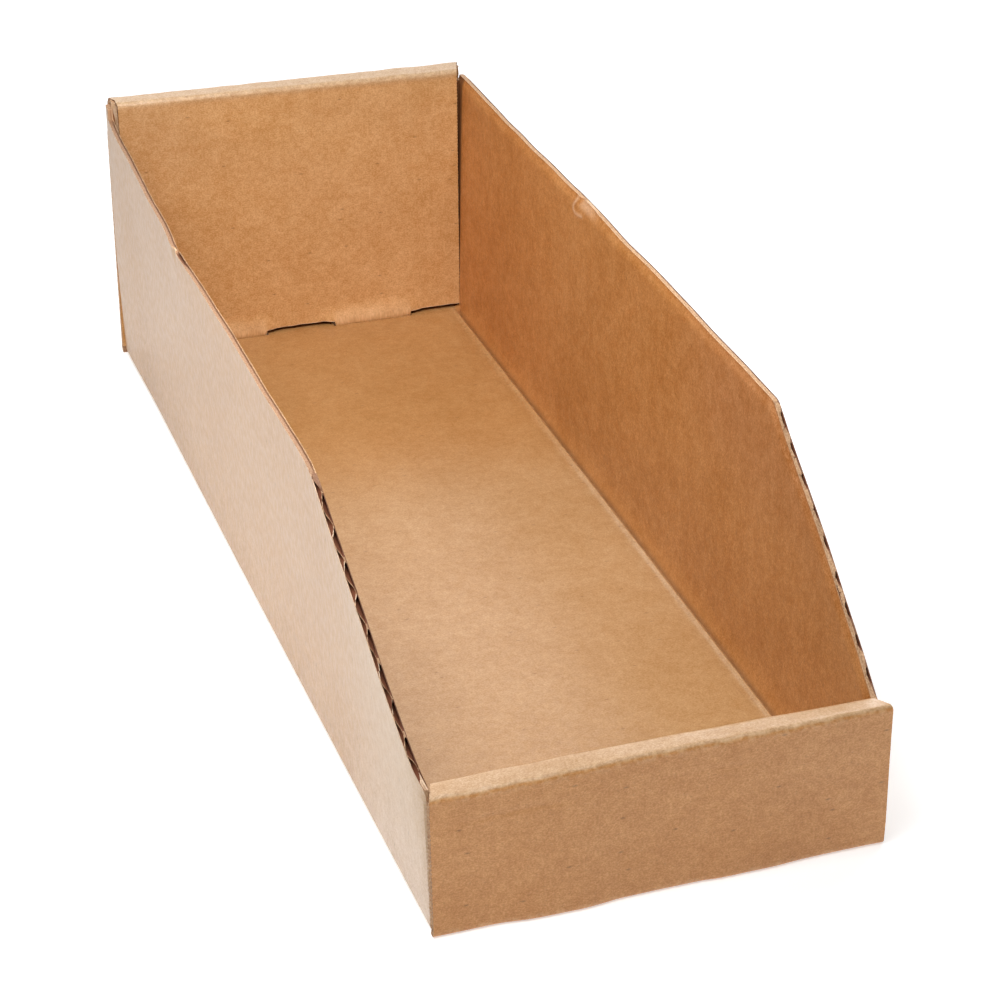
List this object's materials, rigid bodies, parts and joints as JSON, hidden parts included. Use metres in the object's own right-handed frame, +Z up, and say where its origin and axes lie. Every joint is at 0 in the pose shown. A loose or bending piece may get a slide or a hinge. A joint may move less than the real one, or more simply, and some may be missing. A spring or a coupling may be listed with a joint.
{
  "type": "corrugated bin box",
  "caption": "Open-topped shelf bin folded from one sheet of corrugated board, with a low front lip, sloped side walls and a high back.",
  "frame": {"origin": "centre of the footprint, on the plane the bin stands on", "axes": "+X across the bin to the right as seen from its low front, +Y from the low front to the high back, +Z up"},
  "size_m": [0.1524, 0.4572, 0.115],
  "materials": {
    "kraft_board": "matte, unprinted brown kraft liner"
  },
  "bodies": {
    "root": {"bin_box": "kraft_board"}
  },
  "joints": []
}
